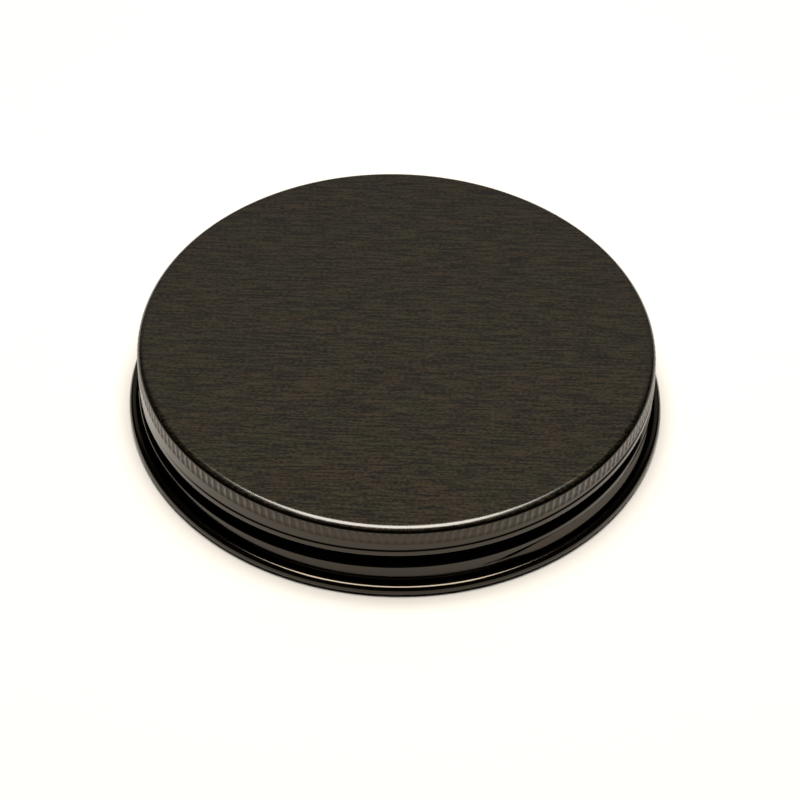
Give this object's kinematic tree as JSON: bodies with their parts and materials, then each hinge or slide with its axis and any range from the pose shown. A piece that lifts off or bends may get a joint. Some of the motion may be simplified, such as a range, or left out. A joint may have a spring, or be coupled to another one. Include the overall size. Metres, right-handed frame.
{
  "type": "screw lid for candle tin",
  "caption": "Black brushed metal screw lid with ribbed grip band, thread rolled into the skirt, wire curl rim and sealing ring inside.",
  "frame": {"origin": "middle of the circle that the rim's curl rests on, at the lowest point", "axes": "+Z is the lid's axis and points out of the panel; +X and +Y lie in the plane of the rim"},
  "size_m": [0.0932, 0.0932, 0.0143],
  "materials": {
    "black_lacquer": "tinplate with a warm black coat: fine linear brushed grain on the panel, gloss on the skirt",
    "sealing_compound": "satin off-white moulded sealing compound"
  },
  "bodies": {
    "root": {"lid_shell": "black_lacquer", "sealing_ring": "sealing_compound"}
  },
  "joints": []
}
